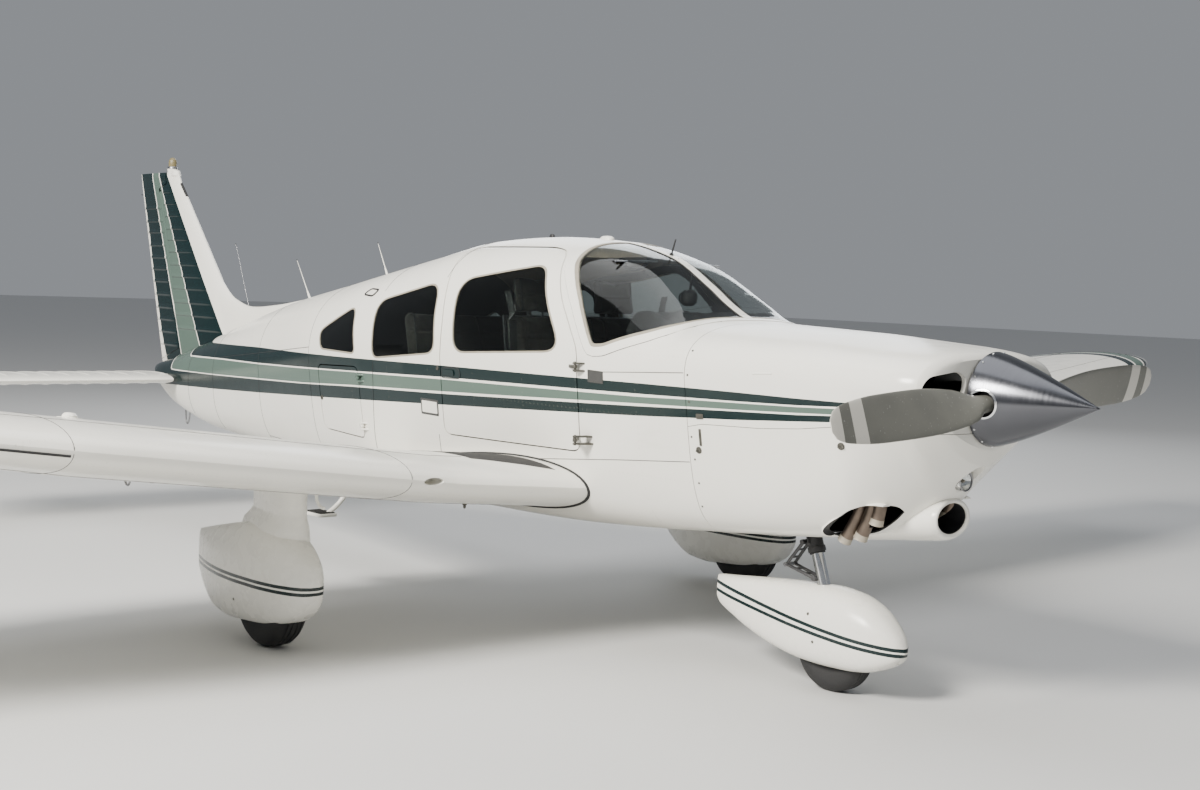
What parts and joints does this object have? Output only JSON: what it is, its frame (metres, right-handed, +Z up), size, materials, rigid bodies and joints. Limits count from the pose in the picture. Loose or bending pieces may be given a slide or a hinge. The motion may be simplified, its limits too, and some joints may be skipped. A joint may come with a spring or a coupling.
{
  "type": "light aircraft",
  "caption": "Low-wing light aircraft on fixed, spatted tricycle gear, with a closed cabin, hinged control surfaces, a turning propeller and opening doors.",
  "frame": {"origin": "on the ground below the middle of the bounding box", "axes": "+X forward, +Y to port, +Z up"},
  "size_m": [7.54, 10.67, 2.3953],
  "materials": {
    "glass": "clear acrylic",
    "skin": "riveted sheet, glossy white paint with green stripes",
    "moulding": "moulded, glossy white paint",
    "bare_metal": "polished",
    "blade": "matt grey paint",
    "engine": null,
    "steel": "bare and heat stained",
    "tyre": "black rubber",
    "trim": "dark moulded trim",
    "seat": "woven cloth",
    "lens": "weathered amber lens"
  },
  "bodies": {
    "airframe": {"windscreen_L": "glass", "windscreen_R": "glass", "rear_window_L": "glass", "rear_window_R": "glass", "quarter_window_L": "glass", "quarter_window_R": "glass", "front_window_L": "glass", "cabin_shell": "skin", "tail_cone": "skin", "wing_L": "skin", "wing_R": "skin", "fin": "skin", "upper_cowl": "moulding", "lower_cowl": "moulding", "wingtip_L": "moulding", "wingtip_R": "moulding", "main_fairing_L": "moulding", "main_fairing_R": "moulding", "landing_lamp": "bare_metal", "engine": "engine", "exhaust_L": "steel", "exhaust_R": "steel", "main_leg_L": "steel", "main_leg_R": "steel", "nose_strut": "steel", "boarding_step": "steel", "instrument_panel": "trim", "front_seat_L": "seat", "front_seat_R": "seat", "rear_seat": "seat", "beacon": "lens"},
    "propeller": {"propeller": "blade", "spinner": "bare_metal"},
    "main_wheel_L": {"main_L_tyre": "tyre", "main_L_rim": "bare_metal"},
    "main_wheel_R": {"main_R_tyre": "tyre", "main_R_rim": "bare_metal"},
    "nose_gear": {"nose_fork": "steel", "nose_fairing": "moulding"},
    "nose_wheel": {"nose_tyre": "tyre", "nose_rim": "bare_metal"},
    "door": {"cabin_door": "skin", "door_window": "glass"},
    "baggage_lid": {"baggage_door": "skin"},
    "flap_L": {"flap_L": "skin"},
    "flap_R": {"flap_R": "skin"},
    "aileron_L": {"aileron_L": "skin"},
    "aileron_R": {"aileron_R": "skin"},
    "rudder": {"rudder": "skin"},
    "stabilator": {"stabilator": "skin"},
    "tab": {"stabilator_tab": "skin"}
  },
  "joints": [
    {"name": "prop_spin", "type": "hinge", "parent": "airframe", "child": "propeller", "pos_m": [3.376, 0, 1.267], "axis": [1, 0, 0], "continuous": true},
    {"name": "main_wheel_L_spin", "type": "hinge", "parent": "airframe", "child": "main_wheel_L", "pos_m": [0.651, 1.52, 0.222], "axis": [0, 1, 0], "continuous": true},
    {"name": "main_wheel_R_spin", "type": "hinge", "parent": "airframe", "child": "main_wheel_R", "pos_m": [0.651, -1.52, 0.222], "axis": [0, 1, 0], "continuous": true},
    {"name": "nose_steer", "type": "hinge", "parent": "airframe", "child": "nose_gear", "pos_m": [2.6, 0, 0.222], "axis": [-0.3343, 0, 0.9425], "range_deg": [-22, 22]},
    {"name": "nose_wheel_spin", "type": "hinge", "parent": "nose_gear", "child": "nose_wheel", "pos_m": [2.602, 0, 0.18], "axis": [0, 1, 0], "continuous": true},
    {"name": "door_hinge", "type": "hinge", "parent": "airframe", "child": "door", "pos_m": [1.567, -0.578, 0.966], "axis": [-0.0563, 0, 0.9984], "range_deg": [0, 80]},
    {"name": "baggage_hinge", "type": "hinge", "parent": "airframe", "child": "baggage_lid", "pos_m": [-0.211, -0.49021, 0.85], "axis": [0, -0.1467, 0.9892], "range_deg": [0, 95]},
    {"name": "flap_L_hinge", "type": "hinge", "parent": "airframe", "child": "flap_L", "pos_m": [0.17125, 0.7, 0.68229], "axis": [0, -0.9929, -0.1187], "range_deg": [0, 40]},
    {"name": "flap_R_hinge", "type": "hinge", "parent": "airframe", "child": "flap_R", "pos_m": [0.17125, -0.7, 0.68229], "axis": [0, -0.9929, 0.1187], "range_deg": [0, 40]},
    {"name": "aileron_L_hinge", "type": "hinge", "parent": "airframe", "child": "aileron_L", "pos_m": [0.17214, 2.718, 0.92406], "axis": [-0.0424, -0.9891, -0.1408], "range_deg": [-22, 22]},
    {"name": "aileron_R_hinge", "type": "hinge", "parent": "airframe", "child": "aileron_R", "pos_m": [0.17214, -2.718, 0.92406], "axis": [0.0424, -0.9891, 0.1408], "range_deg": [-22, 22]},
    {"name": "rudder_hinge", "type": "hinge", "parent": "airframe", "child": "rudder", "pos_m": [-3.13, 0, 1.122], "axis": [-0.2799, 0, 0.96], "range_deg": [-27, 27]},
    {"name": "stabilator_pivot", "type": "hinge", "parent": "airframe", "child": "stabilator", "pos_m": [-3.09, 0, 0.93], "axis": [0, 1, 0], "range_deg": [-2, 14]},
    {"name": "tab_hinge", "type": "hinge", "parent": "stabilator", "child": "tab", "pos_m": [-3.498, 0, 0.93], "axis": [0, 1, 0], "range_deg": [-3, 12]}
  ],
  "couplings": [
    {"joint": "flap_R_hinge", "follows": "flap_L_hinge", "ratio": 1},
    {"joint": "aileron_R_hinge", "follows": "aileron_L_hinge", "ratio": -1},
    {"joint": "nose_steer", "follows": "rudder_hinge", "ratio": -0.81},
    {"joint": "tab_hinge", "follows": "stabilator_pivot", "ratio": 0.8}
  ]
}
